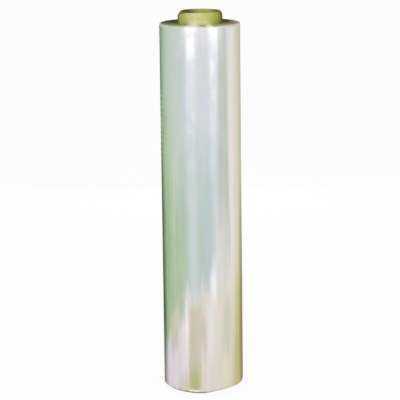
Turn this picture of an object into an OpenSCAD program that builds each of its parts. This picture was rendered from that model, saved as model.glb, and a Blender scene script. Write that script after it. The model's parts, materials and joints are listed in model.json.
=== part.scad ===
// A roll of hand stretch wrap, standing on its end: clear film wound tight on a paperboard tube.
// The tube is proud of the film at both ends, and the film's loose outer end makes a step down the side.
// Millimetres. The origin is the centre of the tube's lower end, and +Z runs up the roll's axis.

/* [Film] */
// Width of the film, which is the height of the wound film
film_w = 500; // [200:1:760]
// Thickness of film wound on the tube, from the tube's outside to the roll's outside
film_build = 23.6; // [5:0.1:80]
// Radius of the upper rim, where the roll's side turns into its end face
rim_top_r = 2.2; // [0.5:0.1:4]
// Radius of the lower rim, which is worn from being stood on
rim_low_r = 3.4; // [0.5:0.1:4]

/* [Wound end faces] */
// Width of a band of turns that lies at one height, at most
band_w = 1.4; // [0.8:0.1:4]
// Furthest that a band of turns wandered along the tube while the film was wound
wander = 0.25; // [0.05:0.05:1]

/* [Loose outer end] */
// Height of the step that the film's outer end makes on the side
lap_step = 0.4; // [0.1:0.05:1]
// Bearing of the outer end's middle, in degrees from +X
lap_bearing = -57.9; // [-180:0.1:180]
// Lean of the outer end from the roll's axis, in degrees
lap_lean = 1.65; // [0:0.05:2.5]

/* [Gauge ridges] */
// Height of the highest ridges, which grow round the roll where the film is a little thick
ridge_h = 0.25; // [0.1:0.05:0.5]
// Width of a ridge at its foot
ridge_w = 4.2; // [1:0.1:4.8]
// Distance between two ridges
ridge_pitch = 7.6; // [5:0.1:20]
// Height of the ridged zone's middle above the film's lower end
ridge_mid = 365; // [0:1:760]
// Distance from its middle over which the ridged zone fades
ridge_reach = 45; // [10:1:200]
// Distance from either end of the roll over which the ridges there fade
ridge_end_reach = 18; // [5:1:100]

/* [Knocked lower corner] */
// Bearing at which the lower corner was pushed up most, in degrees from +X
knock_bearing = -40; // [-180:1:180]
// How far it was pushed up there
knock_rise = 4.4; // [1:0.1:12]
// Slope of the pushed-up face
knock_slope = 12.4; // [4:0.1:20]
// Rounding of the pushed-up corner
knock_r = 6; // [1:0.1:10]

/* [Tube] */
// Bore of the tube, which takes a dispenser's mandrel
core_bore_d = 50.8; // [25.4:0.1:77]
// Wall of the tube
core_wall = 5; // [2:0.1:15]
// Length of tube above the film
core_above = 15.5; // [1:0.5:60]
// Length of tube below the film, on which the roll stands
core_below = 4.5; // [1:0.5:60]
// Break of the tube's cut edges
core_edge = 0.5; // [0.1:0.1:0.9]

/* [Hidden] */
$fn = 180;

// The film is wound straight on the tube, so its bore is the tube's outside.
bore_r = core_bore_d / 2;
core_r = bore_r + core_wall;
film_r = core_r + film_build;
film_low = core_below;
film_high = film_low + film_w;
core_l = film_high + core_above;

// The bands of turns share the wound thickness evenly.
bands = ceil(film_build / band_w);
band = film_build / bands;
// Angle between a band's place in the wander's swing and the next band's, so that no two neighbours match
band_turn = 137.5;

// Straight lengths that a rim's quarter round is made of
rim_steps = 8;
// How far a rim's round starts outside its end face, so that the face cuts it cleanly
rim_lift = 0.05;
// Ridges lower than this are left out
ridge_least = 0.06;
// Angle between the pushed-up corner's wall and the film's side, which it runs out into
knock_flare = 4;
// Room past the film that the cutting solids leave
clear = 10;

// How far band number i lies above the film's nominal place
function shift(i) = wander * sin(band_turn * i);

// The steps of one end face from the tube outwards, one flat ring for each band.
// The last ring runs on past the side, which cuts it.
function end_steps(z) = [
    for (i = [0:bands - 1], side = [0, 1])
        [core_r + (i + side) * band + (i + side == bands ? clear : 0), z + shift(i)]
];

// The quarter round of one rim of a side of radius r, from the end face to the side
function rim(r, rim_r, z, up) = [
    for (k = [0:rim_steps])
        let (a = 90 - 90 * k / rim_steps)
            [r - rim_r + rim_r * cos(a), z + up * (rim_lift + rim_r * (sin(a) - 1))]
];

// Bell of height 1 at x = 0
function swell(x, reach) = exp(-pow(x / reach, 2));

// Height of the ridge at height z: the highest of the ridged zone's and the two ends' own swells
function ridge(z) = ridge_h * max(
    swell(z - film_low - ridge_mid, ridge_reach),
    swell(film_high - z, ridge_end_reach),
    swell(z - film_low, ridge_end_reach)
);

// The ridges of a side of radius r from the top down, each a low peak between two feet
function ridges(r) =
    let (
        first = film_high - rim_top_r - wander - ridge_w / 2,
        last = film_low + rim_low_r + wander + ridge_w / 2
    )
    [
        for (z = [first:-ridge_pitch:last])
            if (ridge(z) > ridge_least)
                for (foot = [[0, 0.5], [ridge(z), 0], [0, -0.5]])
                    [r + foot[0], z + foot[1] * ridge_w]
    ];

function reversed(list) = [for (i = [len(list) - 1:-1:0]) list[i]];

// Solid of revolution that holds the wound film's two end faces and its bore.
// Each band is the film's whole width, so both ends of a band are shifted alike.
module wound_ends() {
    rotate_extrude()
        polygon(concat(end_steps(film_high), reversed(end_steps(film_low))));
}

// The side of the cut, at the film's outer end, on which the last turn lies.
// In front the cut leans with the film's edge.
// Behind it stands upright, where the two rounds run smoothly together.
module last_turn_side() {
    reach = film_r + clear;
    height = film_w + 4 * clear;
    half_lean = height / 2 * tan(lap_lean);
    translate([0, 0, film_low - 2 * clear]) {
        translate([-reach, -reach, 0])
            cube([reach, reach, height]);
        rotate([90, 0, 90])
            linear_extrude(reach)
                polygon([[-reach, 0], [half_lean, 0], [-half_lean, height], [-reach, height]]);
    }
}

// A round of radius r with both rims rounded off, and open upwards and downwards inside them
module side_round(r) {
    top = film_high + shift(bands - 1);
    low = film_low + shift(bands - 1);
    rotate_extrude()
        polygon(concat(
            [[0, top + clear], [r - rim_top_r, top + clear]],
            rim(r, rim_top_r, top, 1),
            ridges(r),
            reversed(rim(r, rim_low_r, low, -1)),
            [[r - rim_low_r, low - clear], [0, low - clear]]
        ));
}

// The side is a spiral of two half rounds. The second is larger by half a step and set off by as much,
// so it leaves the first without a corner and ends a whole step above it.
module wound_side() {
    rotate(lap_bearing) {
        difference() {
            side_round(film_r);
            last_turn_side();
        }
        intersection() {
            translate([lap_step / 2, 0, 0])
                side_round(film_r + lap_step / 2);
            last_turn_side();
        }
    }
}

// All that a knock on the lower corner left: a leaning cup that holds the roll.
// Its floor slopes up to the knock, its corner is round, and its wall flares off the film's side.
module knocked_end() {
    flare = knock_slope + knock_flare;
    // Length of floor and of wall that the corner's round takes up
    run = knock_r * tan((90 - flare) / 2);
    axis_r = film_r / cos(knock_slope);
    wall_r = axis_r - run * (tan(flare) * cos(knock_slope) - sin(knock_slope));
    far = film_w + film_r + clear;
    rotate(knock_bearing)
        translate([film_r, 0, film_low + knock_rise])
            rotate([0, -knock_slope, 0])
                translate([-axis_r, 0, 0])
                    rotate_extrude()
                        polygon(concat(
                            [[0, 0]],
                            [
                                for (k = [0:rim_steps])
                                    let (a = (90 - flare) * k / rim_steps - 90)
                                        [wall_r - run + knock_r * cos(a), knock_r * (1 + sin(a))]
                            ],
                            [[wall_r + far * tan(flare), far], [0, far]]
                        ));
}

// Spiral paperboard tube, cut square, with its edges broken
module core_tube() {
    color([0.72, 0.71, 0.47])
        rotate_extrude()
            polygon([
                [bore_r, core_edge],
                [bore_r + core_edge, 0],
                [core_r - core_edge, 0],
                [core_r, core_edge],
                [core_r, core_l - core_edge],
                [core_r - core_edge, core_l],
                [bore_r + core_edge, core_l],
                [bore_r, core_l - core_edge]
            ]);
}

// All the turns of film, with the loose outer end
module film_roll() {
    color([0.82, 0.84, 0.80])
        intersection() {
            wound_ends();
            wound_side();
            knocked_end();
        }
}

core_tube();
film_roll();
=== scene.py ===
"""A roll of hand stretch wrap, standing on its end: clear film wound tight on a board tube.

The film's side is a slow spiral with gauge ridges, tension waves and a loose outer end. Its end faces are
stepped in bands, because the film wandered along the tube as it was wound. The tube is a wall with a spiral
ply inside and outside, and its mouth is worn. Everything is in metres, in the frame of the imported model.
"""

import json
import math
from functools import cached_property

import bmesh
import bpy
import numpy as np
from mathutils import Matrix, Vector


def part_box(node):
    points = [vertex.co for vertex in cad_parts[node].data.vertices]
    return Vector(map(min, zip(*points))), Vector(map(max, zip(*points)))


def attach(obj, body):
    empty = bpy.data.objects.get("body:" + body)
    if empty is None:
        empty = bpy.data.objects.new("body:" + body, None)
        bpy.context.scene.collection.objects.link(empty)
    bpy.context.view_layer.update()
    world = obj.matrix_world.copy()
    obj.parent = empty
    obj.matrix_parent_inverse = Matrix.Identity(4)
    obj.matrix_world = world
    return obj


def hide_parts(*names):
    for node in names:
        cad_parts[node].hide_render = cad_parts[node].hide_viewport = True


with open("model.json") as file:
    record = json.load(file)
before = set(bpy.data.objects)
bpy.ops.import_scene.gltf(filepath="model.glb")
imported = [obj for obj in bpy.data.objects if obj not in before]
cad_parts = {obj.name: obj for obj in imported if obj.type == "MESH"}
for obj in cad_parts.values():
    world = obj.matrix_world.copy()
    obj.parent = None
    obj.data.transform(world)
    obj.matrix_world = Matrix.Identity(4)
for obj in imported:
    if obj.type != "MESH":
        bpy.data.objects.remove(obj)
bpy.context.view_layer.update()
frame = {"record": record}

bl_info = {
    "name": "Stretch wrap roll",
    "version": (1, 0, 0),
    "blender": (4, 5, 0),
    "location": "View3D > Sidebar > Wrap roll",
    "description": "Builds a roll of stretch film on its board tube, with a plain studio stage",
    "category": "Add Mesh",
}

MM = 0.001
FILM_LOW, FILM_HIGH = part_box("film_roll")
_, TUBE_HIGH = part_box("core_tube")
BORE_RADIUS = MM * next(m for m in frame["record"]["mounts"] if m["name"] == "core_bore")["dims"]["r_mm"]
# Furthest that a band of turns wandered along the tube, which the film's box includes at both ends
WANDER = 0.25 * MM
# Height of the highest gauge ridges, which the film's box includes at its sides
RIDGE = 0.25 * MM
# Turn from one band of turns to the next in the wander's swing
BAND_TURN = math.radians(137.5)
# Height of the film's upper face
FILM_FACE = FILM_HIGH.z - WANDER
# Faces that meet at more than this angle have a crisp edge between them
CRISP = math.radians(35)

# The broad tension waves in the film's side. A row is a wave's count round the roll, its share of the wave
# height, its phase, and how far it sways along the roll.
TENSION_WAVES = (
    (3, 0.55, 0.4, 1.5),
    (5, 0.5, 2.1, -2.0),
    (8, 0.3, 4.4, 2.5),
    (13, 0.18, 1.3, -3.5),
    (21, 0.09, 5.2, 5.0),
    (34, 0.04, 0.9, -7.0),
)
# A second, slight knock on the lower corner at the front left: its bearing, its rise and its slope
SLIGHT_KNOCK = (math.radians(-146), 1.9 * MM, math.radians(7))
# Places where the lower rim is worn rounder, beside the knock: the bearing, the width and the radius gained
WORN_PLACES = (
    (math.radians(-160), math.radians(20), 2.2 * MM),
    (math.radians(2), math.radians(20), 4.6 * MM),
)


def ease(t):
    """Smooth step: 0 below 0, 1 above 1, and 3 t squared less 2 t cubed between."""
    t = np.clip(t, 0.0, 1.0)
    return t * t * (3.0 - 2.0 * t)


def swell(x, centre, width):
    """Bell of height 1 at centre: e to the minus square of the distance over the width."""
    return np.exp(-(((x - centre) / width) ** 2))


def turned(angle, centre, width):
    """Bell round the roll's axis: falls off with the shortest angle from centre, in radians."""
    apart = np.angle(np.exp(1j * (angle - centre)))
    return np.exp(-((apart / width) ** 2))


def tone(red, green, blue):
    """Linear colour for shader sockets, from a colour as a screen shows it, each part from 0 to 255."""
    parts = np.array([red, green, blue]) / 255.0
    low = parts / 12.92
    high = ((parts + 0.055) / 1.055) ** 2.4
    return (*np.where(parts <= 0.04045, low, high).tolist(), 1.0)


class WoundFilmSettings(bpy.types.PropertyGroup):
    """Sizes and colour of the wound film."""

    side_radius: bpy.props.FloatProperty(
        name="Side radius", description="Radius of the wound film, before the outer end's step",
        default=FILM_HIGH.x - RIDGE, unit="LENGTH")
    low: bpy.props.FloatProperty(
        name="Lower face", description="Height of the film's lower face",
        default=FILM_LOW.z + WANDER, unit="LENGTH")
    high: bpy.props.FloatProperty(
        name="Upper face", description="Height of the film's upper face",
        default=FILM_FACE, unit="LENGTH")
    low_rim: bpy.props.FloatProperty(
        name="Lower rim", description="Radius of the worn lower rim", default=3.4 * MM, unit="LENGTH")
    top_rim: bpy.props.FloatProperty(
        name="Upper rim", description="Radius of the upper rim", default=2.2 * MM, unit="LENGTH")
    lap_step: bpy.props.FloatProperty(
        name="Step", description="Height of the step at the film's loose outer end",
        default=0.4 * MM, unit="LENGTH")
    lap_bearing: bpy.props.FloatProperty(
        name="Step bearing", description="Bearing of the outer end's middle from +X",
        default=math.radians(-57.9), unit="ROTATION")
    lap_lean: bpy.props.FloatProperty(
        name="Step lean", description="Lean of the outer end from the roll's axis",
        default=math.radians(1.65), unit="ROTATION")
    ridge_height: bpy.props.FloatProperty(
        name="Ridge height", description="Height of the highest gauge ridges, which run round the side",
        default=RIDGE, unit="LENGTH")
    ridge_width: bpy.props.FloatProperty(
        name="Ridge width", description="Width of a gauge ridge at its foot",
        default=4.2 * MM, unit="LENGTH")
    ridge_pitch: bpy.props.FloatProperty(
        name="Ridge pitch", description="Distance between two gauge ridges",
        default=7.6 * MM, unit="LENGTH")
    ridge_middle: bpy.props.FloatProperty(
        name="Ridged zone", description="Height of the ridged zone's middle above the film's lower face",
        default=365 * MM, unit="LENGTH")
    knock_bearing: bpy.props.FloatProperty(
        name="Knock bearing", description="Bearing at which the lower corner was pushed up most, from +X",
        default=math.radians(-40), unit="ROTATION")
    knock_rise: bpy.props.FloatProperty(
        name="Knock rise", description="How far the lower corner was pushed up there",
        default=4.4 * MM, unit="LENGTH")
    knock_slope: bpy.props.FloatProperty(
        name="Knock slope", description="Slope of the pushed-up part of the lower face",
        default=math.radians(12.4), unit="ROTATION")
    wave_height: bpy.props.FloatProperty(
        name="Wave height", description="Height of the broad tension waves that run along the roll",
        default=0.2 * MM, unit="LENGTH")
    bands: bpy.props.IntProperty(
        name="Bands", description="Bands of turns that show as flat rings on an end face",
        default=17, min=2)
    pearl: bpy.props.FloatVectorProperty(
        name="Pearl", description="Colour of the film's side under its casts",
        default=tone(196, 202, 206), subtype="COLOR", size=4, min=0.0, max=1.0)


class BoardTubeSettings(bpy.types.PropertyGroup):
    """Sizes and colours of the board tube."""

    outer_radius: bpy.props.FloatProperty(
        name="Outer radius", description="Outside of the tube", default=TUBE_HIGH.x, unit="LENGTH")
    bore_radius: bpy.props.FloatProperty(
        name="Bore radius", description="Inside of the tube", default=BORE_RADIUS, unit="LENGTH")
    length: bpy.props.FloatProperty(
        name="Length", description="Length of the tube", default=TUBE_HIGH.z, unit="LENGTH")
    ply: bpy.props.FloatProperty(
        name="Ply", description="Thickness of the plies that face the tube",
        default=0.35 * MM, unit="LENGTH")
    ply_rise: bpy.props.FloatProperty(
        name="Ply rise", description="Distance that a spiral ply climbs in one turn",
        default=118 * MM, unit="LENGTH")
    seam: bpy.props.FloatProperty(
        name="Seam", description="Gap between the edges of a spiral ply", default=0.9 * MM, unit="LENGTH")
    wear_depth: bpy.props.FloatProperty(
        name="Wear depth", description="How far the mouth is pushed in where it is worn most",
        default=6 * MM, unit="LENGTH")
    wear_height: bpy.props.FloatProperty(
        name="Wear height", description="Length of tube below the mouth that the wear reaches",
        default=7.5 * MM, unit="LENGTH")
    kraft: bpy.props.FloatVectorProperty(
        name="Kraft", description="Colour of the board where it is deeper",
        default=tone(200, 198, 128), subtype="COLOR", size=4, min=0.0, max=1.0)
    pale_kraft: bpy.props.FloatVectorProperty(
        name="Pale kraft", description="Colour of the board where it is paler",
        default=tone(214, 211, 158), subtype="COLOR", size=4, min=0.0, max=1.0)


class StageSettings(bpy.types.PropertyGroup):
    """The camera, the lamps and the floor."""

    camera_back: bpy.props.FloatProperty(
        name="Camera distance", description="Distance of the camera in front of the roll's axis",
        default=2.6228, unit="LENGTH")
    camera_up: bpy.props.FloatProperty(
        name="Camera height", description="Height of the camera above the floor",
        default=0.7896, unit="LENGTH")
    camera_tilt: bpy.props.FloatProperty(
        name="Camera tilt", description="How far the camera looks down", default=math.radians(11.36),
        unit="ROTATION")
    camera_turn: bpy.props.FloatProperty(
        name="Camera turn", description="How far the camera is turned to its left",
        default=math.radians(0.051), unit="ROTATION")
    camera_roll: bpy.props.FloatProperty(
        name="Camera roll", description="How far the camera is rolled", default=math.radians(-0.666),
        unit="ROTATION")
    lens: bpy.props.FloatProperty(
        name="Lens", description="Focal length on a 36 mm sensor, in millimetres", default=177.07)
    lamp_brightness: bpy.props.FloatProperty(
        name="Lamp brightness", description="Radiance of a lamp's bright panel, where white is 1",
        default=4.0)
    sky: bpy.props.FloatProperty(
        name="Sky", description="Strength of the even light from all round", default=0.52)
    seen_sky: bpy.props.FloatProperty(
        name="Seen sky", description="Strength of the sky where it is seen, which matches the white floor",
        default=0.97)


def mesh_object(name, points, faces, materials, slots=None):
    """A smooth-shaded object of four-cornered faces. slots gives each face's material."""
    mesh = bpy.data.meshes.new(name)
    mesh.vertices.add(len(points))
    mesh.vertices.foreach_set("co", np.asarray(points, np.float32).ravel())
    mesh.loops.add(faces.size)
    mesh.loops.foreach_set("vertex_index", faces.astype(np.int32).ravel())
    mesh.polygons.add(len(faces))
    mesh.polygons.foreach_set("loop_start", np.arange(0, faces.size, 4, dtype=np.int32))
    mesh.polygons.foreach_set("loop_total", np.full(len(faces), 4, np.int32))
    mesh.polygons.foreach_set("use_smooth", np.ones(len(faces), bool))
    for material in materials:
        mesh.materials.append(material)
    if slots is not None:
        mesh.polygons.foreach_set("material_index", slots.astype(np.int32))
    mesh.update(calc_edges=True)
    mesh.validate()
    mesh.set_sharp_from_angle(angle=CRISP)
    thing = bpy.data.objects.new(name, mesh)
    bpy.context.scene.collection.objects.link(thing)
    return thing


def round_points(radius, bearing, height):
    """Points as rows of x, y and z, from arrays of the radius, the bearing and the height."""
    parts = np.broadcast_arrays(radius * np.cos(bearing), radius * np.sin(bearing), height)
    return np.stack(parts, axis=-1).reshape(-1, 3)


def grid_faces(rows, columns, loop_rows=False, loop_columns=False):
    """Faces of a grid of points that are numbered row by row.

    With loop_rows the last row joins the first, and with loop_columns the last column does. The faces turn
    outwards where the columns run anticlockwise and the rows run up the outside.
    """
    column, row = np.meshgrid(np.arange(columns if loop_columns else columns - 1),
                              np.arange(rows if loop_rows else rows - 1))
    right, above = (column + 1) % columns, (row + 1) % rows
    corners = [row * columns + column, row * columns + right,
               above * columns + right, above * columns + column]
    return np.stack([c.ravel() for c in corners], axis=1)


def film_outline(film, core_radius):
    """The closed line that the wound film's surface follows, where it has no wear and no relief.

    It runs up the side, round the upper rim, in over the upper face, down the bore, out under the lower
    face and round the lower rim. The result is the radius, the height, the part and the rim angle of each
    row of points. Part is 0 on the side, 1 on the upper rim, 2 on the upper face, 3 on the lower face and 4
    on the lower rim. The rim angle is 0 where the rim meets the side and a quarter turn where it meets the
    face.
    """
    rows_in_pitch, rim_rows, edge = 6, 7, 0.08 * MM
    side_low, side_high = film.low + film.low_rim, film.high - film.top_rim
    side_rows = round((side_high - side_low) / film.ridge_pitch * rows_in_pitch)
    quarter = np.linspace(0.0, math.pi / 2, rim_rows)
    band = (film.side_radius - core_radius) / film.bands
    steps = core_radius + band * np.arange(1, film.bands)
    rings = np.concatenate([[core_radius], np.stack([steps - edge, steps + edge], axis=1).ravel()])
    top_rings = rings[rings < film.side_radius - film.top_rim][::-1]
    low_rings = rings[rings < film.side_radius - film.low_rim]
    rows = [
        (0, np.full(side_rows, film.side_radius), np.linspace(side_low, side_high, side_rows), 0.0),
        (1, film.side_radius - film.top_rim * (1 - np.cos(quarter[1:])),
         film.high - film.top_rim * (1 - np.sin(quarter[1:])), quarter[1:]),
        (2, top_rings, film.high, 0.0),
        (3, low_rings, film.low, 0.0),
        (4, film.side_radius - film.low_rim * (1 - np.cos(quarter[:0:-1])),
         film.low + film.low_rim * (1 - np.sin(quarter[:0:-1])), quarter[:0:-1]),
    ]
    spread = [np.stack(np.broadcast_arrays(*row)) for row in rows]
    part, radius, height, turn = np.concatenate(spread, axis=1)
    return radius, height, part.astype(int), turn


def film_columns():
    """Angles anticlockwise from the step at which the film has points, close together beside the step."""
    beside = np.radians([0.0, 0.2, 0.5, 1.0, 1.7])
    first, count, step_width = math.radians(2.8), 168, math.radians(0.25)
    span = np.linspace(first, 2 * math.pi - step_width - first, count)
    return np.concatenate([beside, span, 2 * math.pi - step_width - beside[::-1]])


def gauge_ridges(film, bearing, height):
    """Height of the ridges round the roll: raised cosines at an even pitch, as high as the swell there.

    The swell is 1 in the middle of the ridged zone and at both ends of the roll, and falls off as a bell.
    Everywhere else a tenth of it is left. The ridges are highest at the left and a sixth as high opposite.
    """
    zone_reach, end_reach, least = 45 * MM, 18 * MM, 0.1
    left, left_width, opposite = math.radians(185), math.radians(42), 0.16
    first = film.high - film.top_rim - WANDER - film.ridge_width / 2
    nearest = first - np.round((first - height) / film.ridge_pitch) * film.ridge_pitch
    strength = np.maximum.reduce([
        swell(nearest, film.low + film.ridge_middle, zone_reach),
        swell(nearest, film.high, end_reach),
        swell(nearest, film.low, end_reach),
        np.full(np.shape(height), least),
    ])
    off = np.clip((height - nearest) / film.ridge_width, -0.5, 0.5)
    strength = strength * (opposite + (1 - opposite) * turned(bearing, left, left_width))
    return film.ridge_height * strength * (0.5 + 0.5 * np.cos(2 * math.pi * off))


def side_relief(film, turn, bearing, height):
    """How far the film's side stands out beyond its plain radius.

    It is the sum of the winding's spiral, which gains the whole step over the second half turn, of the
    gauge ridges, of the tension waves, and of the slack lift of the last turn beside its edge. A wave is a
    sine of the bearing whose phase sways with the height. The slack dies away with the angle from the edge,
    and it is fuller and flatter by turns along the edge.
    """
    slack_lift, slack_width = 0.12 * MM, 0.06
    spiral = np.where(turn > math.pi, film.lap_step / 2 * (1 + np.cos(turn)), 0.0)
    waves = 0.0
    for lobes, share, phase, sway in TENSION_WAVES:
        swayed = phase + sway * np.sin(height * (3 + lobes) + phase)
        waves = waves + share * np.sin(lobes * bearing + swayed)
    fullness = 0.6 + 0.4 * np.sin(height * 55.0 + 0.7)
    slack = slack_lift * np.exp(-(2 * math.pi - turn) / slack_width) * fullness
    return spiral + gauge_ridges(film, bearing, height) + film.wave_height * waves * 0.5 + slack


def face_relief(film, core_radius, radius, bearing):
    """Height of an end face above its nominal place: a flat ring for each band, as in the solid model.

    Band i is shifted by the wander times the sine of i band turns, and a slow swing round the axis keeps
    the rings from being perfectly flat.
    """
    band = (film.side_radius - core_radius) / film.bands
    place = (radius - core_radius) / band
    number = np.clip(np.floor(place), 0, film.bands - 1)
    swing = 0.07 * MM * np.sin(2 * bearing + 1.1 * number) * ease(place / 2)
    return WANDER * np.sin(BAND_TURN * number) + swing


def knock_lift(film, radius, bearing):
    """How far the lower face is pushed up: planes that slope up to the two knocks, blended into the flat.

    The blend is the soft maximum of 0 and the plane, which is half of the plane plus the root of its square
    plus the square of the blend's size.
    """
    blend = 0.6 * MM
    lift = 0.0
    for place, rise, slope in ((film.knock_bearing, film.knock_rise, film.knock_slope), SLIGHT_KNOCK):
        plane = rise - (film.side_radius - radius * np.cos(bearing - place)) * math.tan(slope)
        lift = lift + 0.5 * (plane + np.sqrt(plane ** 2 + blend ** 2))
    return lift


def worn_rim(film, bearing):
    """Radius of the lower rim by bearing: a bell is added at the knock and at each worn place."""
    rim = film.low_rim
    for place, width, gain in ((film.knock_bearing, math.radians(38), 2.4 * MM), *WORN_PLACES):
        rim = rim + gain * turned(bearing, place, width)
    return rim


def wound_film_points(film, core_radius):
    """All points of the wound film, the part of each row, and the numbers of rows and columns.

    Each point starts on the outline, turned to its bearing. The lower rim takes its worn radius, and the
    lower face and rim take the knocks' lift, which fades out up the side. Then the radius is stretched away
    from the tube by the side's relief, and the end faces take their steps.
    """
    knock_fade, edge_wander = 32 * MM, 0.25 * MM
    radius, height, part, rim_turn = film_outline(film, core_radius)
    columns = film_columns()
    turn = np.broadcast_to(columns, (len(radius), len(columns)))
    radius, height, part_at, rim_turn = (np.broadcast_to(v[:, None], turn.shape)
                                         for v in (radius, height, part, rim_turn))
    middle = (film.low + film.high) / 2
    wander = edge_wander * np.sin(height * 70.0) / film.side_radius
    edge = film.lap_bearing - (height - middle) * math.tan(film.lap_lean) / film.side_radius + wander
    bearing = edge + turn
    rim = worn_rim(film, bearing)
    corner = film.side_radius - rim
    narrowed = (corner - core_radius) / (film.side_radius - film.low_rim - core_radius)
    relief = face_relief(film, core_radius, radius, bearing)
    radius = np.where(part_at == 3, core_radius + (radius - core_radius) * narrowed, radius)
    radius = np.where(part_at == 4, corner + rim * np.cos(rim_turn), radius)
    foot = knock_lift(film, corner, bearing)
    rise = foot + rim - film.low_rim
    up = height + np.where(part_at == 0, rise * (1 - ease((height - film.low) / knock_fade)), 0.0)
    up = np.where(part_at == 3, height + knock_lift(film, radius, bearing), up)
    up = np.where(part_at == 4, film.low + foot + rim * (1 - np.sin(rim_turn)), up)
    last_band = WANDER * math.sin(BAND_TURN * (film.bands - 1))
    share = (radius - core_radius) / (film.side_radius - core_radius)
    out = core_radius + share * (film.side_radius - core_radius + side_relief(film, turn, bearing, up))
    up = up + np.where((part_at == 2) | (part_at == 3), relief, last_band)
    return round_points(out, bearing, up), part, turn.shape


def tube_wear(tube, points):
    """Moves the tube's points in where its mouth is worn.

    The push is largest at the mouth and falls off down the tube. The mouth's left corner is crushed in, and
    the wall between it and the film stands in a little too. The mouth's right corner is rounded off, and
    slight waves run round the mouth and the foot. The crushed lip is also a little lower.
    """
    above_film, proud_fade = 16 * MM, 4 * MM
    dent, rounding, crush_drop, lip_wave = 1.2 * MM, 3 * MM, 0.4 * MM, 0.12 * MM
    x, y, z = points[:, 0], points[:, 1], points[:, 2]
    bearing, radius = np.arctan2(y, x), np.hypot(x, y)
    near = np.clip((z - tube.length + tube.wear_height) / tube.wear_height, 0.0, 1.0)
    foot = ease((tube.wear_height / 2 - z) / tube.wear_height)
    outside = ease((radius - tube.bore_radius) / (tube.outer_radius - tube.bore_radius))
    bruise = turned(bearing, math.radians(192), math.radians(36))
    rounded = turned(bearing, math.radians(-8), math.radians(30))
    small = 0.16 * MM * (1 + np.sin(5 * bearing + 0.6)) + 0.1 * MM * (1 + np.sin(11 * bearing))
    proud = ease((z - tube.length + above_film) / proud_fade)
    push = (near ** 2.6 * tube.wear_depth + proud * dent) * bruise * (0.35 + 0.65 * outside)
    push = push + (near ** 5 * rounding * rounded + near ** 1.5 * small) * outside
    push = push + foot * small * outside
    drop = near ** 6 * (crush_drop * bruise + lip_wave * np.sin(3 * bearing + 2.0) ** 2)
    shrink = (radius - push) / radius
    return np.stack([x * shrink, y * shrink, z - drop], axis=-1)


def tube_levels(tube):
    """Heights of the tube's rows of points, close together at both ends."""
    near = MM * np.array([0.0, 0.25, 0.7, 1.4, 2.4, 3.6, 5.0, 6.5, 9.0, 13.0])
    return np.concatenate([near, np.linspace(20 * MM, tube.length - 20 * MM, 25), tube.length - near[::-1]])


def wall_part(tube):
    """The tube's wall between its facing plies: points and faces of a closed ring.

    The line that is turned runs up the outside, in over the mouth, down the inside and out under the foot.
    On both ends the wall's plies stand at slightly different heights: raised cosines of the ply's number.
    """
    columns, plies, uneven = 144, 9, 0.35
    inner, outer = tube.bore_radius + tube.ply, tube.outer_radius - tube.ply
    levels = tube_levels(tube)
    edges = np.linspace(outer, inner, plies + 2)[1:-1]
    lip = tube.ply * uneven * (0.5 + 0.5 * np.cos(np.arange(plies) * 2.4))
    radius = np.concatenate([np.full(len(levels), outer), edges, np.full(len(levels), inner), edges[::-1]])
    height = np.concatenate([levels, tube.length - lip, levels[::-1], lip])
    bearing = np.arange(columns) * 2 * math.pi / columns
    points = round_points(radius[:, None], bearing, height[:, None])
    return points, grid_faces(len(radius), columns, loop_rows=True, loop_columns=True)


def ply_part(tube, low_radius, high_radius, start):
    """One spiral facing ply: points and faces of a closed strip.

    The strip's lower edge climbs by the ply's rise each turn, its upper edge lies one rise less the seam
    above, and both are cut off level at the tube's ends. Round the strip run its outer side, upper edge,
    inner side and lower edge.
    """
    width = tube.ply_rise - tube.seam
    steps = 96
    turns = (tube.length + width) / tube.ply_rise
    angle = np.linspace(0.01, turns - 0.01, int(turns * steps)) * 2 * math.pi
    low = angle / (2 * math.pi) * tube.ply_rise - width
    levels = np.clip(tube_levels(tube)[None, :], low[:, None], low[:, None] + width)
    levels = np.clip(levels, 0.0, tube.length)
    height = np.concatenate([levels, levels[:, ::-1]], axis=1)
    rows, columns = height.shape
    half = columns // 2
    radius = np.repeat([high_radius, low_radius], half)
    points = round_points(radius, (angle + start)[:, None], height)
    # Here the rows run round the tube and the columns up it, so each face is turned over.
    faces = grid_faces(rows, columns, loop_columns=True)[:, [0, 3, 2, 1]]
    caps = [[base + k, base + k + 1, base + columns - 2 - k, base + columns - 1 - k][::order]
            for base, order in ((0, 1), ((rows - 1) * columns, -1)) for k in range(half - 1)]
    return points, np.concatenate([faces, np.array(caps)])


def merge_close(thing):
    """Welds points that fall together and drops faces without area, which cut-off strips leave."""
    distance = 1e-7
    work = bmesh.new()
    work.from_mesh(thing.data)
    bmesh.ops.remove_doubles(work, verts=work.verts, dist=distance)
    bmesh.ops.dissolve_degenerate(work, edges=work.edges, dist=distance)
    bmesh.ops.recalc_face_normals(work, faces=work.faces)
    work.to_mesh(thing.data)
    work.free()
    thing.data.set_sharp_from_angle(angle=CRISP)


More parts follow.
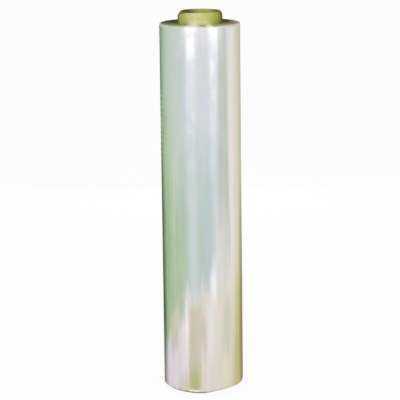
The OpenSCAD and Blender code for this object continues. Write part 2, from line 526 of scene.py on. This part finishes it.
class Wiring:
    """The nodes of a material or a world, with short calls that add and join them."""

    def __init__(self, owner, shader="Principled BSDF"):
        owner.use_nodes = True
        self.owner = owner
        self.tree = owner.node_tree
        self.shader = self.tree.nodes[shader]

    def add(self, kind, settings=None, **inputs):
        """A node of that kind, with its settings, and with each input joined or set."""
        node = self.tree.nodes.new(kind)
        for key, value in (settings or {}).items():
            setattr(node, key, value)
        for key, value in inputs.items():
            self.feed(node, key.replace("_", " ") if not key.startswith("i") else int(key[1:]), value)
        return node

    def feed(self, node, socket, value):
        """Joins value to that input of the node if it is an output, and else sets it there."""
        target = node.inputs[socket]
        if isinstance(value, bpy.types.NodeSocket):
            self.tree.links.new(value, target)
        else:
            target.default_value = value

    def math(self, operation, *values):
        """The result of one arithmetic step."""
        node = self.add("ShaderNodeMath", {"operation": operation})
        for i, value in enumerate(values):
            self.feed(node, i, value)
        return node.outputs[0]

    def fade(self, value, start, end, low=0.0, high=1.0):
        """A smooth change from low to high as value goes from start to end."""
        node = self.add("ShaderNodeMapRange", {"interpolation_type": "SMOOTHSTEP"}, Value=value,
                        From_Min=start, From_Max=end, To_Min=low, To_Max=high)
        return node.outputs["Result"]

    def mix(self, share, first, second):
        """The first colour where share is 0 and the second where it is 1."""
        node = self.add("ShaderNodeMix", {"data_type": "RGBA"})
        self.feed(node, "Factor", share)
        self.feed(node, 6, first)
        self.feed(node, 7, second)
        return node.outputs[2]

    def scaled(self, colour, factor):
        """The colour times a number."""
        return self.add("ShaderNodeVectorMath", {"operation": "SCALE"}, i0=colour, Scale=factor).outputs[0]

    def times(self, vector, factors):
        """The product of two vectors or colours, part by part."""
        return self.add("ShaderNodeVectorMath", {"operation": "MULTIPLY"}, i0=vector, i1=factors).outputs[0]

    def noise(self, stretch, scale, detail, roughness=0.5):
        """Noise on the object's own coordinates, each stretched by its own factor first."""
        mapping = self.add("ShaderNodeMapping", Vector=self.place, Scale=stretch)
        node = self.add("ShaderNodeTexNoise", Vector=mapping.outputs[0], Scale=scale, Detail=detail,
                        Roughness=roughness)
        return node.outputs["Fac"]

    def line_noise(self, value, scale, detail=2.0):
        """Noise that depends on one number only, such as a height or a radius."""
        node = self.add("ShaderNodeTexNoise", {"noise_dimensions": "1D"}, W=value, Scale=scale,
                        Detail=detail)
        return node.outputs["Fac"]

    @cached_property
    def place(self):
        """The object's own coordinates."""
        return self.add("ShaderNodeTexCoord").outputs["Object"]

    @cached_property
    def axes(self):
        """The object's own coordinates as the numbers X, Y and Z."""
        return self.add("ShaderNodeSeparateXYZ", Vector=self.place).outputs

    @cached_property
    def bearing(self):
        """Angle round the roll's axis, from the front to the right."""
        return self.math("ARCTAN2", self.axes["X"], self.math("MULTIPLY", self.axes["Y"], -1.0))

    @cached_property
    def radius(self):
        """Distance from the roll's axis."""
        flat = self.times(self.place, (1, 1, 0))
        return self.add("ShaderNodeVectorMath", {"operation": "LENGTH"}, i0=flat).outputs["Value"]

    @cached_property
    def seen(self):
        """1 for what the camera sees, also in a gloss or through a clear piece, and else 0."""
        path = self.add("ShaderNodeLightPath").outputs
        bounced = self.math("MAXIMUM", path["Is Glossy Ray"], path["Is Transmission Ray"])
        return self.math("MAXIMUM", path["Is Camera Ray"], bounced)

    def side(self, degrees, core, reach):
        """1 within core degrees of a bearing and 0 past reach degrees from it."""
        return self.near(self.bearing, math.radians(degrees), math.radians(core), math.radians(reach))

    def near(self, value, centre, core, reach):
        """1 where value is within core of centre and 0 past reach from it."""
        return self.fade(self.math("ABSOLUTE", self.math("SUBTRACT", value, centre)), reach, core)

    def cast(self, streak, tatter, place, core, reach, lean, foot, head, soft, climb):
        """The mask of one row of TINTS_AND_PAINTED_LIGHT.

        streak and tatter are noises around 0 that shift its sides and its ends. It leans about its place at
        a height of 250 mm.
        """
        height = self.axes["Z"]
        shift = self.math("MULTIPLY_ADD", height, math.radians(-10 * lean),
                          math.radians(2.5 * lean - place))
        off = self.math("ADD", self.bearing, shift)
        jag = self.math("MULTIPLY_ADD", tatter, min(3 * soft, 100) * MM, height)
        if climb:
            jag = self.math("MULTIPLY_ADD", off, -math.degrees(climb) * MM, jag)
        off = self.math("MULTIPLY_ADD", streak, math.radians(reach - core), self.math("ABSOLUTE", off))
        mask = self.fade(off, math.radians(reach), math.radians(core))
        if foot > 0:
            mask = self.both(mask, self.fade(jag, (foot - soft) * MM, (foot + soft) * MM))
        if head < 520:
            mask = self.both(mask, self.fade(jag, (head + soft) * MM, (head - soft) * MM))
        return mask

    def both(self, *masks):
        """The product of some masks."""
        product = masks[0]
        for mask in masks[1:]:
            product = self.math("MULTIPLY", product, mask)
        return product

    def lay(self, colour, casts):
        """The colour with each cast laid over it in turn. A cast is its name, its shade and its mask."""
        for _, shade, mask in casts:
            colour = self.mix(mask, colour, tone(*shade))
        return colour

    def finish(self, colour, **sockets):
        """Joins the colour and sets the shader's other inputs."""
        self.feed(self.shader, "Base Color", colour)
        for key, value in sockets.items():
            self.feed(self.shader, key.replace("_", " "), value)
        return self.owner


# The casts on the film's side, each laid over the ones before it. They are partly the film's own tints and
# mostly painted reflections, painted glints and painted shade, its shine under the light laid into its
# colour.
# A row is a cast's name and colour, its bearing from the front to the right, the half widths of its full
# and of its faded part and its lean per 100 mm, all in degrees, the heights of its lower and upper ends and
# the half width of their fades in millimetres, and how far its ends climb for each degree to the right, in
# millimetres. An end at 0 or 520 runs out without a fade. A cast whose name starts with dull also takes
# gloss off, and its colour is painted shade. The one at the very back has two rows, because the bearing
# jumps from
# 180 to -180 there.
TINTS_AND_PAINTED_LIGHT = (
    ("lavender grey", (187, 200, 207), -31, 5, 22, -1, 275, 520, 60, 0),
    ("sage shoulder", (194, 209, 191), -47, 8, 31, -3, 80, 520, 20, 2.1),
    ("leaf green", (176, 206, 168), -69, 7, 17, 0, 45, 520, 20, 2.1),
    ("deep leaf green", (162, 193, 135), -65, 2, 36, 0, 60, 285, 70, 1),
    ("sea green", (166, 189, 169), -14, 16, 35, 2, 130, 305, 70, 0),
    ("spring green", (172, 195, 157), -36, 4, 12, 0, 92, 235, 40, 0),
    ("pale blue column", (189, 200, 200), -13, 1, 14, 0, 135, 355, 35, 0),
    ("green grey", (174, 190, 189), 10, 2, 19, -2, 160, 315, 65, 0),
    ("sage strip", (181, 187, 186), 27, 1, 10, 2, 220, 440, 55, 0),
    ("rose strip", (232, 226, 221), 49, 4, 21, 2, 0, 520, 30, 0),
    ("grey rose", (190, 193, 183), 38, 2, 10, -2, 210, 500, 60, 0),
    ("straw", (228, 226, 197), 62, 3, 15, 2, 0, 520, 30, 0),
    ("pale lavender", (212, 210, 210), 26, 3, 16, -2, 115, 250, 55, 0),
    ("white glint", (242, 241, 244), 15, 1, 9, -1, 105, 175, 35, 0),
    ("rose beige", (219, 209, 199), 7, 28, 36, 2, 0, 140, 30, 0),
    ("beige right", (226, 217, 194), 38, 6, 21, -2, 0, 145, 45, 0),
    ("lavender", (236, 219, 232), -50, 9, 30, 2, 0, 85, 30, 2.0),
    ("khaki patch", (206, 206, 180), -45, 4, 11, 0, 62, 124, 16, 1.0),
    ("lavender white", (234, 219, 228), -27, 1, 12, 1, 25, 105, 15, 0),
    ("white edge", (234, 230, 228), -20, 3, 6, 1, 65, 135, 35, 0),
    ("olive beige streak", (200, 190, 167), -10, 5, 12, 1, 0, 130, 10, 0),
    ("olive green streak", (174, 176, 116), -12, 3, 14, 0, 0, 35, 25, 0),
    ("brown shade", (197, 186, 174), -1, 5, 11, -3, 60, 110, 25, 0),
    ("milky streak", (222, 215, 213), 11, 2, 9, 0, 40, 140, 20, 0),
    ("sage patch", (208, 204, 184), 39, 2, 13, 3, 65, 135, 20, 0),
    ("peach foot", (213, 200, 172), -30, 4, 13, -1, 0, 18, 22, 0),
    ("yellow foot", (206, 206, 166), -14, 30, 70, 1, 0, 8, 5, 0),
    ("olive limb", (202, 191, 111), 71, 1, 18, 4, 0, 165, 45, 0),
    ("amber limb", (148, 116, 42), 78, 3, 13, 1, 0, 130, 50, 0),
    # Painted haze of the lamps' glints just under the upper rim, at the front.
    ("painted highlight haze under the upper rim", (214, 213, 215), 2, 25, 36, 0, 475, 520, 20, 0),
    ("olive side", (186, 186, 104), 101, 10, 45, 1, 0, 520, 25, 0),
    ("pale olive side", (216, 216, 188), 101, 10, 45, 1, 250, 520, 65, 0),
    # Painted shade along the right and left sides, darkest near the edges.
    ("dull olive side in painted shade", (138, 130, 64), 89, 2, 30, -2, 0, 235, 90, 0),
    ("dull amber edge", (132, 118, 58), 84, 2, 10, 0, 0, 190, 60, 0),
    ("green side", (108, 148, 100), -98, 11, 41, -1, 0, 520, 25, 0),
    ("dull left edge", (94, 120, 92), -85, 3, 12, 0, 0, 520, 25, 0),
    ("dull green side in painted shade", (72, 98, 68), -86, 7, 24, -1, 58, 290, 60, 0),
    # A paler gap in the painted shade at the left edge.
    ("pale gap", (158, 182, 144), -82, 8, 28, 0, 354, 390, 16, 0),
    ("sage back", (184, 200, 184), -146, 3, 34, 2, 0, 520, 25, 0),
    ("straw back", (206, 206, 182), 146, 3, 34, -2, 0, 520, 25, 0),
    ("rose back foot", (214, 206, 200), 180, 18, 58, 0, 0, 115, 45, 0),
    ("rose back foot", (214, 206, 200), -180, 18, 58, 0, 0, 115, 45, 0),
    # Painted highlights along the upper rim, white where the lamps' glints run over it.
    ("painted rim highlight at the left", (204, 218, 170), -70, 50, 62, 0, 501.6, 520, 1, 0),
    ("painted rim highlight at the front", (222, 218, 188), 22, 28, 52, 0, 502.2, 520, 1, 0),
    ("painted rim highlight at the right", (220, 212, 184), 70, 30, 50, 0, 501.4, 520, 1, 0),
    ("first painted glint on the rim", (250, 248, 248), -13, 3, 13, 0, 499, 520, 4, 0),
    ("second painted glint on the rim", (246, 242, 232), 15, 1, 7, 0, 498.5, 520, 4, 0),
    # A painted highlight along the lower rim, and painted shade under it, next to the floor.
    ("painted highlight on the lower rim", (246, 246, 214), -13, 4, 12, 0, 7.6, 10, 0.8, 0),
    ("painted contact shadow under the lower rim", (60, 64, 48), -14, 14, 36, 0, 0, 6.8, 0.8, 0),
    ("painted shade under the lower rim at the left", (92, 98, 76), -42, 14, 32, 0, 0, 7.8, 0.8, 0),
)


def film_side_material(film):
    """Pearly film with a gloss, in casts that have soft, upright, ragged borders.

    Most casts are painted reflections, glints and shade. It is cool in the middle, green at the left and
    straw at the right, and darker along both sides in painted shade. Near the foot it is warm, with an
    olive streak, a painted highlight on the lower rim and painted shade under it. Streaks that run along
    the roll shift the casts' borders, and vary the shade a little. In the ridged zone's left part the
    grooves take painted shade and the crests a painted highlight. A slow mottling turns the film a little
    to lilac here and to green there, and breaks up the lamps' glints.
    """
    coat, dull_loss, lilac, green = 0.22, 0.16, (1.025, 0.99, 1.032, 1), (0.975, 1.01, 0.97, 1)
    w = Wiring(bpy.data.materials.new("pearly_film"))
    height = w.axes["Z"]
    streak = w.math("SUBTRACT", w.noise((1, 1, 0.03), 110, 4, 0.6), 0.5)
    tatter = w.math("SUBTRACT", w.noise((1, 1, 0.06), 230, 2), 0.5)
    casts = [(name, shade, w.cast(streak, tatter, *sizes)) for name, shade, *sizes in TINTS_AND_PAINTED_LIGHT]
    dull = 0.0
    for name, _, mask in casts:
        if name.startswith("dull"):
            dull = w.math("MAXIMUM", mask, dull)
    middle = film.low + film.ridge_middle
    zone = w.both(w.fade(height, middle - 59.5 * MM, middle - 24.5 * MM),
                  w.fade(height, middle + 55.5 * MM, middle + 30.5 * MM))
    uneven = w.math("MULTIPLY_ADD", w.line_noise(height, 90), 2.4, -1.2)
    wave = w.math("SINE", w.math("MULTIPLY", height, 2 * math.pi / film.ridge_pitch))
    wave = w.math("ADD", wave, uneven)
    groove = w.both(w.fade(wave, 0.2, 0.9), zone)
    crest = w.both(w.fade(wave, -0.3, -0.9), zone)
    # In the ridged zone the grooves take painted shade and the crests a painted highlight.
    colour = w.lay(w.lay(film.pearl, casts), (
        ("groove", (84, 112, 84), w.both(groove, w.side(-96, 8, 56), 0.18)),
        ("deep groove at the left edge", (58, 76, 52), w.both(groove, w.side(-98, 10, 27), 0.32)),
        ("pale crest", (196, 212, 176), w.both(crest, w.side(-86, 3, 26), 0.38)),
    ))
    colour = w.scaled(colour, w.math("MULTIPLY_ADD", streak, 0.16, 1.0))
    colour = w.times(colour, w.mix(w.fade(w.noise((1, 1, 0.5), 80, 3), 0.38, 0.62), lilac, green))
    patchy = w.fade(w.noise((1, 1, 0.5), 62, 3), 0.36, 0.64, 0.68, 1.28)
    relief = w.math("MULTIPLY_ADD", w.line_noise(height, 900), 0.2, streak)
    bump = w.add("ShaderNodeBump", Strength=0.3, Distance=0.4 * MM, Height=relief)
    return w.finish(colour, Roughness=0.5, IOR=1.5, Specular_IOR_Level=0.0,
                    Coat_Weight=w.both(w.math("MULTIPLY_ADD", dull, -dull_loss, coat), patchy),
                    Coat_IOR=4.0, Coat_Roughness=0.21, Coat_Normal=bump.outputs[0])


def film_end_material():
    """Dark olive end face: the cut edges of some thousand turns, in fine rings, swallow the light.

    It is painted paler at the front and darker at the back, as painted light and painted shade. In front of
    the tube painted glints lie on it at the left and a narrow one at the right, where it also has a clear
    coat, with a painted reflection of the tube between them.
    """
    w = Wiring(bpy.data.materials.new("wound_edge"))
    across, depth = w.axes["X"], w.axes["Y"]
    rings = w.line_noise(w.radius, 2600, 3)
    front = w.fade(depth, -22 * MM, -36 * MM)
    far_front = w.fade(depth, -32 * MM, -48 * MM)
    # Masks of the painted glints in front of the tube, which also carry the clear coat.
    left_coat_and_painted_glint = w.math("MAXIMUM", w.both(w.near(across, -8.5 * MM, 4.5 * MM, 11 * MM), front),
                       w.both(w.near(across, -16 * MM, 4 * MM, 11 * MM), far_front))
    right_coat_and_painted_glint = w.both(w.near(across, 12.5 * MM, 2.2 * MM, 6.5 * MM), front)
    between = w.both(w.near(across, 3 * MM, 6 * MM, 12 * MM), front)
    straw_painted_light_front = w.both(w.fade(depth, -4 * MM, -50 * MM), w.fade(across, -4 * MM, 20 * MM))
    colour = w.lay(w.mix(rings, tone(96, 108, 54), tone(128, 138, 86)), (
        ("brown rings", (108, 100, 62), w.math("MULTIPLY", w.line_noise(w.radius, 420, 1), 0.4)),
        ("brown right", (116, 102, 64), w.fade(across, -10 * MM, 40 * MM, 0.0, 0.7)),
        ("pale smears", (150, 158, 112), w.fade(w.noise((1, 1, 1), 55, 3), 0.5, 0.8, 0.0, 0.3)),
        # Painted shade at the back and painted light at the front; the right end is lifted out of the
        # painted shade.
        ("dark back", (64, 70, 30), w.fade(depth, -4 * MM, 10 * MM, 0.0, 0.9)),
        ("right end lifted out of the painted back shade", (190, 180, 140), w.fade(across, 35 * MM, 50 * MM)),
        ("pale green front", (182, 195, 138), w.fade(depth, 2 * MM, -44 * MM)),
        ("straw painted light at the front right", (192, 180, 140), straw_painted_light_front),
        # A painted reflection of the tube between the two painted glints.
        ("straw between the hazes", (196, 188, 142), between),
        ("left haze", (255, 250, 246), left_coat_and_painted_glint),
        ("painted glint at the right front", (252, 247, 228), right_coat_and_painted_glint),
    ))
    bump = w.add("ShaderNodeBump", Strength=0.5, Distance=0.3 * MM, Height=rings)
    return w.finish(colour, Roughness=0.75, IOR=1.3, Normal=bump.outputs[0],
                    Coat_Weight=w.math("MAXIMUM", left_coat_and_painted_glint, right_coat_and_painted_glint), Coat_IOR=2.5, Coat_Roughness=0.3)


def board_material(tube):
    """Yellow-green kraft board, matt, with fibres and flecks.

    It is painted lighter in the middle and deeper towards both sides, as painted light and painted shade,
    and it takes painted light just above the film's face, where the film shines on it. The bore is
    brighter, with painted shade at both sides.
    """
    w = Wiring(bpy.data.materials.new("kraft_board"))
    fibre = w.noise((1, 1, 1), 420, 4, 0.65)
    cloud = w.noise((1, 1, 1), 45, 3)
    fleck = w.noise((1, 1, 0.5), 900, 2)
    across, height = w.axes["X"], w.axes["Z"]
    inside = w.fade(w.radius, tube.bore_radius + 2.8 * MM, tube.bore_radius + 1.4 * MM)
    foot = w.fade(height, FILM_FACE + 9 * MM, FILM_FACE + 1 * MM)
    low_painted_light_band = w.fade(height, FILM_FACE + 4.5 * MM, FILM_FACE)
    lowest_painted_light_band = w.fade(height, FILM_FACE + 3 * MM, FILM_FACE)
    colour = w.lay(w.mix(cloud, tube.kraft, tube.pale_kraft), (
        # Painted light in the middle and painted shade towards both sides.
        ("painted light in the middle", (214, 210, 154), w.side(-9, 5, 22)),
        ("yellow right of the middle", (200, 200, 112), w.side(27, 5, 18)),
        ("green left", (190, 200, 86), w.side(-57, 8, 32)),
        ("olive painted shade at the right", (172, 178, 58), w.side(55, 8, 34)),
        # Painted light and painted highlights where the film shines on the tube's foot.
        ("pale foot", (238, 236, 176), w.both(foot, w.side(-4, 18, 36), 0.45)),
        ("painted highlight at the foot's left", (255, 248, 240), w.both(low_painted_light_band, w.side(-16, 4, 15), 0.95)),
        ("painted highlight at the foot's right", (246, 240, 205), w.both(lowest_painted_light_band, w.side(24, 3, 11), 0.8)),
        # Deeper painted shade at both edges.
        ("deep left edge", (104, 110, 30), w.side(-90, 12, 29)),
        ("deep painted shade at the right edge", (110, 110, 34), w.side(84, 14, 34)),
        ("bore", (220, 229, 134), inside),
        # Painted shade in the bore at both sides.
        ("bore's left", (111, 118, 46), w.both(inside, w.fade(across, 2 * MM, -18 * MM))),
        ("painted shade at the bore's right", (120, 126, 46), w.both(inside, w.fade(across, 12 * MM, 26 * MM))),
        ("fibres", (150, 140, 78), w.fade(fibre, 0.35, 0.75, 0.0, 0.25)),
        ("flecks", (230, 220, 184), w.fade(fleck, 0.66, 0.72, 0.0, 0.5)),
    ))
    bump = w.add("ShaderNodeBump", Strength=0.4, Distance=0.3 * MM, Height=fibre)
    return w.finish(colour, Roughness=0.86, IOR=1.4, Normal=bump.outputs[0])


def floor_material():
    """White floor and backdrop. Where it is seen it is mostly plain white, with a trace of the shadow."""
    plain_share = 0.94
    w = Wiring(bpy.data.materials.new("white_floor"))
    glow = w.add("ShaderNodeEmission", Color=(1, 1, 1, 1), Strength=1.0)
    surface = w.add("ShaderNodeMixShader", i0=w.math("MULTIPLY", w.seen, plain_share),
                    i1=w.shader.outputs[0], i2=glow.outputs[0])
    w.feed(w.tree.nodes["Material Output"], "Surface", surface.outputs[0])
    return w.finish(tone(245, 245, 244), Roughness=0.9)


def even_sky(stage):
    """The world: even white light from all round, brighter where it is seen than where it lights."""
    w = Wiring(bpy.data.worlds.new("even_sky"), "Background")
    w.feed(w.shader, "Color", (1, 1, 1, 1))
    w.feed(w.shader, "Strength", w.fade(w.seen, 0.0, 1.0, stage.sky, stage.seen_sky))
    return w.owner


class WindFilm(bpy.types.Operator):
    """Makes the wound film and its stepped end faces"""

    bl_idname = "wrap_roll.wind_film"
    bl_label = "Wind film"

    def execute(self, context):
        film = context.scene.wrap_film
        core_radius = context.scene.wrap_tube.outer_radius
        points, part, (rows, columns) = wound_film_points(film, core_radius)
        faces = grid_faces(rows, columns, loop_rows=True, loop_columns=True)
        on_face = (part == 2) | (part == 3)
        slots = np.repeat(on_face & np.roll(on_face, -1), columns)
        materials = [film_side_material(film), film_end_material()]
        wound = mesh_object("wound_film", points, faces, materials, slots)
        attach(wound, "root")
        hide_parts("film_roll")
        return {"FINISHED"}


class RollTube(bpy.types.Operator):
    """Makes the board tube: its wall and its two spiral facing plies"""

    bl_idname = "wrap_roll.roll_tube"
    bl_label = "Roll tube"

    def execute(self, context):
        tube = context.scene.wrap_tube
        parts = [
            wall_part(tube),
            ply_part(tube, tube.bore_radius, tube.bore_radius + tube.ply, math.radians(40)),
            ply_part(tube, tube.outer_radius - tube.ply, tube.outer_radius, math.radians(150)),
        ]
        starts = np.cumsum([0] + [len(points) for points, _ in parts[:-1]])
        points = np.concatenate([points for points, _ in parts])
        faces = np.concatenate([faces + start for (_, faces), start in zip(parts, starts)])
        board = mesh_object("board_tube", tube_wear(tube, points), faces, [board_material(tube)])
        merge_close(board)
        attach(board, "root")
        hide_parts("core_tube")
        return {"FINISHED"}


def sweep_floor():
    """The floor and its backdrop as one sheet: flat, then a quarter round, then upright."""
    front, back, rise, bend, half_width = -5.0, 3.0, 4.0, 1.5, 6.0
    quarter = np.linspace(0, math.pi / 2, 17)
    along = np.concatenate([[front], back + bend * np.sin(quarter), [back + bend]])
    up = np.concatenate([[0.0], bend * (1 - np.cos(quarter)), [rise]])
    across = np.linspace(-half_width, half_width, 5)
    x, y = np.meshgrid(across, along)
    z = np.broadcast_to(up[:, None], x.shape)
    points = np.stack([x, y, z], axis=-1).reshape(-1, 3)
    return mesh_object("studio_floor", points, grid_faces(*x.shape), [floor_material()])


# The soft lamps. A row is a lamp's name, its bearing from the front to the right in degrees, its distance
# from the roll's axis, its width and the heights of its lower and upper ends in metres, its share of the
# lamp brightness, and whether glosses mirror it. Each front lamp has a faint longer panel behind the bright
# one, so that it fades out at its lower end. The back lamp ends below the roll's upper face.
LAMPS = (
    ("left_lamp", -28, 1.5, 0.72, 0.24, 0.9, 1.0, True),
    ("left_lamp_foot", -28, 1.501, 0.72, 0.0, 0.9, 0.12, True),
    ("right_lamp", 37, 1.5, 0.64, 0.24, 0.9, 1.0, True),
    ("right_lamp_foot", 37, 1.501, 0.64, 0.0, 0.9, 0.12, True),
    ("back_lamp", 180, 1.5, 0.9, 0.22, 0.5, 1.2, False),
)


def panel_lamp(brightness, name, bearing, away, width, low, high, share, mirrored):
    """An upright soft lamp that faces the roll, from a row of LAMPS."""
    angle = math.radians(bearing)
    light = bpy.data.lights.new(name, "AREA")
    light.shape = "RECTANGLE"
    light.size = width
    light.size_y = high - low
    light.energy = share * brightness * math.pi * light.size * light.size_y
    lamp = bpy.data.objects.new(name, light)
    lamp.location = (away * math.sin(angle), -away * math.cos(angle), (low + high) / 2)
    lamp.rotation_euler = (math.pi / 2, 0, angle)
    lamp.visible_camera = False
    lamp.visible_glossy = mirrored
    bpy.context.scene.collection.objects.link(lamp)


def aimed_camera(stage):
    """The camera in front of the roll, turned, tilted and rolled as the stage says."""
    camera = bpy.data.cameras.new("camera")
    camera.lens = stage.lens
    camera.sensor_width = 36.0
    camera.clip_end = 50
    eye = bpy.data.objects.new("camera", camera)
    bpy.context.scene.collection.objects.link(eye)
    eye.location = (0, -stage.camera_back, stage.camera_up)
    turn = Matrix.Rotation(stage.camera_turn, 3, "Z")
    tilt = Matrix.Rotation(math.pi / 2 - stage.camera_tilt, 3, "X")
    roll = Matrix.Rotation(stage.camera_roll, 3, "Z")
    eye.rotation_euler = (turn @ tilt @ roll).to_euler()
    return eye


class SetStage(bpy.types.Operator):
    """Makes the floor, the lamps, the even sky and the camera"""

    bl_idname = "wrap_roll.set_stage"
    bl_label = "Set stage"

    def execute(self, context):
        scene = context.scene
        stage = scene.wrap_stage
        sweep_floor()
        for lamp in LAMPS:
            panel_lamp(stage.lamp_brightness, *lamp)
        scene.world = even_sky(stage)
        scene.camera = aimed_camera(stage)
        scene.view_settings.view_transform = "Standard"
        return {"FINISHED"}


class WrapRollPanel(bpy.types.Panel):
    """Lists the roll's sizes and colours and the steps that build it."""

    bl_idname = "VIEW3D_PT_wrap_roll"
    bl_label = "Stretch wrap roll"
    bl_space_type = "VIEW_3D"
    bl_region_type = "UI"
    bl_category = "Wrap roll"

    def draw(self, context):
        layout = self.layout
        for settings, step in ((context.scene.wrap_film, WindFilm), (context.scene.wrap_tube, RollTube),
                               (context.scene.wrap_stage, SetStage)):
            box = layout.box()
            for name in settings.bl_rna.properties.keys():
                if name not in ("rna_type", "name"):
                    box.prop(settings, name)
            box.operator(step.bl_idname)


CLASSES = (WoundFilmSettings, BoardTubeSettings, StageSettings, WindFilm, RollTube, SetStage, WrapRollPanel)


def register():
    """Adds the classes and the scene's settings."""
    for cls in CLASSES:
        bpy.utils.register_class(cls)
    bpy.types.Scene.wrap_film = bpy.props.PointerProperty(type=WoundFilmSettings)
    bpy.types.Scene.wrap_tube = bpy.props.PointerProperty(type=BoardTubeSettings)
    bpy.types.Scene.wrap_stage = bpy.props.PointerProperty(type=StageSettings)


def unregister():
    """Removes what register adds."""
    del bpy.types.Scene.wrap_stage
    del bpy.types.Scene.wrap_tube
    del bpy.types.Scene.wrap_film
    for cls in reversed(CLASSES):
        bpy.utils.unregister_class(cls)


def main():
    """Builds the stage and the roll."""
    register()
    bpy.ops.wrap_roll.set_stage()
    bpy.ops.wrap_roll.wind_film()
    bpy.ops.wrap_roll.roll_tube()
    bpy.context.view_layer.update()


if __name__ == "__main__":
    main()
